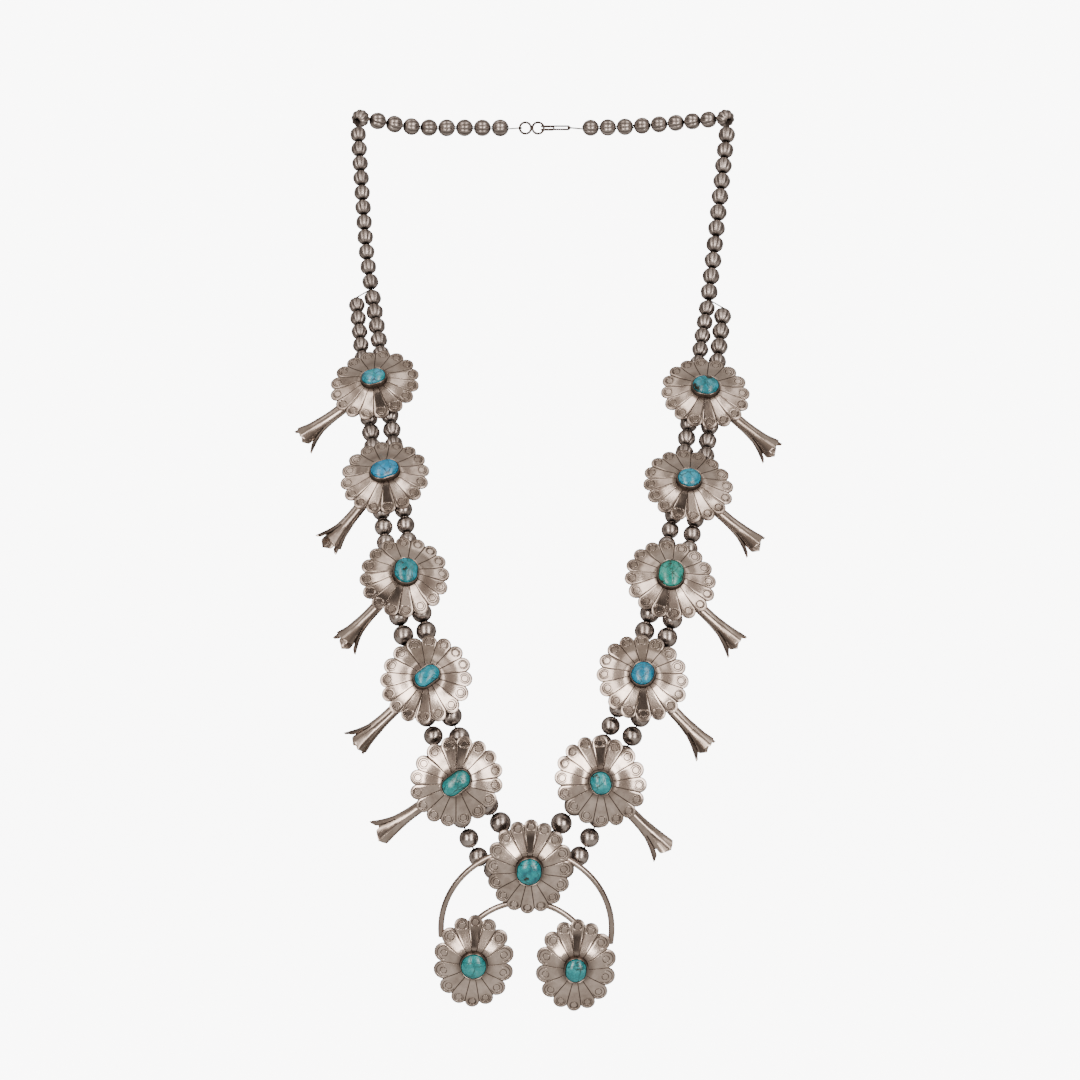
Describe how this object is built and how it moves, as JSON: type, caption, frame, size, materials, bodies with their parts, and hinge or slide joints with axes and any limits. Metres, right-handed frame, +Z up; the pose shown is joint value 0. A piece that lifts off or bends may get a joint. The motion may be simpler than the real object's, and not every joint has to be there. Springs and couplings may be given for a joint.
{
  "type": "squash blossom necklace",
  "caption": "Long silver bead necklace with flower plates and trumpets down both sides, blue stones, a crescent pendant of flowers, and a hook and eye clasp.",
  "frame": {"origin": "middle of the string at the nape, where the necklace rests on the back of the neck", "axes": "+Z up along the hanging length, -Y forward towards the pendant's face, +X to the right as seen from the front"},
  "size_m": [0.1763, 0.155, 0.3243],
  "materials": {
    "silver_beads": "satin",
    "silver_sheet": "satin",
    "turquoise": "polished",
    "string_wire": "satin"
  },
  "bodies": {
    "root": {"blossom_left_1": "silver_sheet", "blossom_left_2": "silver_sheet", "blossom_left_3": "silver_sheet", "blossom_left_4": "silver_sheet", "blossom_left_5": "silver_sheet", "blossom_right_1": "silver_sheet", "blossom_right_2": "silver_sheet", "blossom_right_3": "silver_sheet", "blossom_right_4": "silver_sheet", "blossom_right_5": "silver_sheet", "stone_left_1": "turquoise", "stone_left_2": "turquoise", "stone_left_3": "turquoise", "stone_left_4": "turquoise", "stone_left_5": "turquoise", "stone_right_1": "turquoise", "stone_right_2": "turquoise", "stone_right_3": "turquoise", "stone_right_4": "turquoise", "stone_right_5": "turquoise", "naja": "silver_sheet", "naja_stone_top": "turquoise", "naja_stone_left": "turquoise", "naja_stone_right": "turquoise", "beads_single_left": "silver_beads", "beads_single_right": "silver_beads", "beads_inner_left": "silver_beads", "beads_inner_right": "silver_beads", "beads_outer_left": "silver_beads", "beads_outer_right": "silver_beads", "wire_inner": "string_wire", "wire_outer": "string_wire", "clasp_eye": "silver_beads", "clasp_hook": "silver_beads"}
  },
  "joints": []
}
